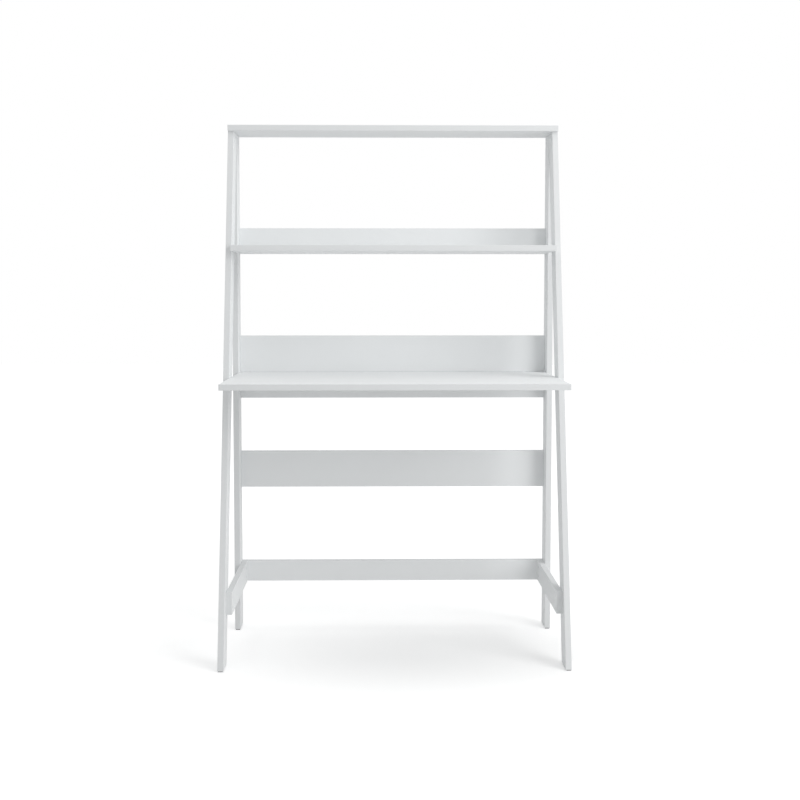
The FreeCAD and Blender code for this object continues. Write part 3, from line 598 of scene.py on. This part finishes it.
# A disc: its face rises to the middle with the square of the radius, its rim is a quarter circle.
def discSurface(length, radius, settings):
    rim, foot = settings["rim"], settings["foot"]
    flat = radius - rim
    share = np.linspace(settings["hub"], 1.0, settings["steps"])
    turn = np.linspace(0.0, math.pi / 2, settings["steps"])[1:]
    faceHeights = settings["dome"] * share**2
    rimHeights = settings["dome"] + rim * (1.0 - np.cos(turn))
    radii = np.concatenate([flat * share, flat + rim * np.sin(turn), [radius, radius - foot]])
    heights = np.concatenate([faceHeights, rimHeights, [length - foot, length]])
    return turnedSurface(plainRings(radii, settings["segments"]), heights)


makeFasteners("bolt_cover_plugs", discSurface, coverPlug, whitePlastic)
makeFasteners("cam_caps", discSurface, camCap, whitePlastic, wideFirst=False)


frameBolt = {
    "head": 0.004,
    "socket": 0.004,  # across the flats of its six sides
    "socketDepth": 0.0025,
    "shank": 0.003,  # radius
    "threadLength": 0.018,
    "pitch": 0.001,
    "threadDepth": 0.00061,
    "crestFlat": 0.12,  # share of the pitch, and the root is as flat
    "rowsPerTurn": 8,
    "chamfer": 0.0004,
    "segments": 24,
}


# A bolt, turned in one profile: up the six sides of its socket, over a head whose edges are cut
# back by the chamfer, then down a straight shank that ends in the thread.
def boltSurface(length, radius, settings):
    count, chamfer, shank = settings["segments"], settings["chamfer"], settings["shank"]
    socket = holeRing(settings["socket"], 6, count)
    threadStart = length - settings["threadLength"]
    thread, threadHeights = threadRows(threadStart, length - chamfer, shank, settings)
    head = plainRings([radius - chamfer, radius, radius, radius - chamfer / 2, shank], count)
    headHeights = [0.0, chamfer, settings["head"] - chamfer / 2, settings["head"], settings["head"]]
    tip = plainRings([shank - settings["threadDepth"]], count)
    radii = np.vstack([socket, socket, head, thread, tip])
    heights = np.concatenate([[settings["socketDepth"], 0.0], headHeights, threadHeights, [length]])
    return turnedSurface(radii, heights)


makeFasteners("rail_bolts", boltSurface, frameBolt, platedSteel)


camBolt = {
    "head": 0.003,  # length, and the waist is as long
    "waist": 0.002,  # radius
    "bevel": 0.0005,
    "threadLength": 0.011,
    "crest": 0.0025,
    "pitch": 0.0018,
    "threadDepth": 0.0008,
    "crestFlat": 0.1,
    "rowsPerTurn": 10,
    "segments": 24,
}


# A cam bolt, turned in one profile: a bevelled head, a narrow waist, a collar as wide as the
# head, and the thread from the collar to the tip.
def camBoltSurface(length, radius, settings):
    count, bevel, waist = settings["segments"], settings["bevel"], settings["waist"]
    head, crest = settings["head"], settings["crest"]
    collar = length - settings["threadLength"]
    thread, threadHeights = threadRows(collar, length - bevel, crest, settings)
    headRadii = [radius - bevel, radius, radius, radius - bevel, waist]
    headHeights = [0.0, bevel, head - bevel, head, head]
    collarRadii = [waist, radius, radius, crest]
    collarHeights = [2 * head - bevel, 2 * head, collar, collar]
    tip = plainRings([crest - settings["threadDepth"]], count)
    radii = np.vstack([plainRings(headRadii + collarRadii, count), thread[1:], tip])
    heights = np.concatenate([headHeights, collarHeights, threadHeights[1:], [length]])
    return turnedSurface(radii, heights)


for board in ("desktop", "middle_shelf", "top_shelf"):
    makeFasteners(board + "_cam_bolts", camBoltSurface, camBolt, platedSteel)


railScrew = {
    "recess": 0.0025,  # across the flats of its four sides
    "recessDepth": 0.0016,
    "shank": 0.002,  # radius
    "plainShank": 0.004,  # below the head
    "point": 0.003,
    "pitch": 0.0018,
    "threadDepth": 0.0006,
    "crestFlat": 0.1,
    "rowsPerTurn": 10,
    "rim": 0.0002,
    "segments": 24,
}


# The head is a cone as deep as it is proud of the shank, and the thread narrows over the point.
def screwSurface(length, radius, settings):
    count, rim, shank = settings["segments"], settings["rim"], settings["shank"]
    recess = holeRing(settings["recess"], 4, count)
    cone = radius - shank
    threadStart = cone + settings["plainShank"]
    thread, threadHeights = threadRows(threadStart, length - rim, shank, settings)
    narrowing = np.clip((length - threadHeights) / settings["point"], 0.0, 1.0)
    head = plainRings([radius - rim / 2, radius, shank], count)
    radii = np.vstack([recess, recess, head, thread * narrowing[:, None]])
    heights = np.concatenate([[settings["recessDepth"], 0.0, 0.0, rim, cone], threadHeights])
    return turnedSurface(radii, heights)


makeFasteners("side_rail_screws", screwSurface, railScrew, platedSteel)


dowel = {
    "flutes": 16,
    "fluteDepth": 0.0003,
    "chamfer": 0.001,
    "segments": 96,
}


# The flutes run along the dowel: the radius falls by their depth in a cosine of the angle.
def dowelSurface(length, radius, settings):
    chamfer = settings["chamfer"]
    flutes = 0.5 - 0.5 * np.cos(settings["flutes"] * ringAngles(settings["segments"]))
    profile = np.array([radius - chamfer, radius, radius, radius - chamfer])
    radii = profile[:, None] - settings["fluteDepth"] * flutes
    return turnedSurface(radii, np.array([0.0, chamfer, length - chamfer, length]))


dowelSets = [node for node in nodes if node.endswith("dowels")]
for node in dowelSets:
    way = placesOf(node)[0][1]
    makeFasteners(node, dowelSurface, dowel, beeches[int(np.argmax(np.abs(way)))])
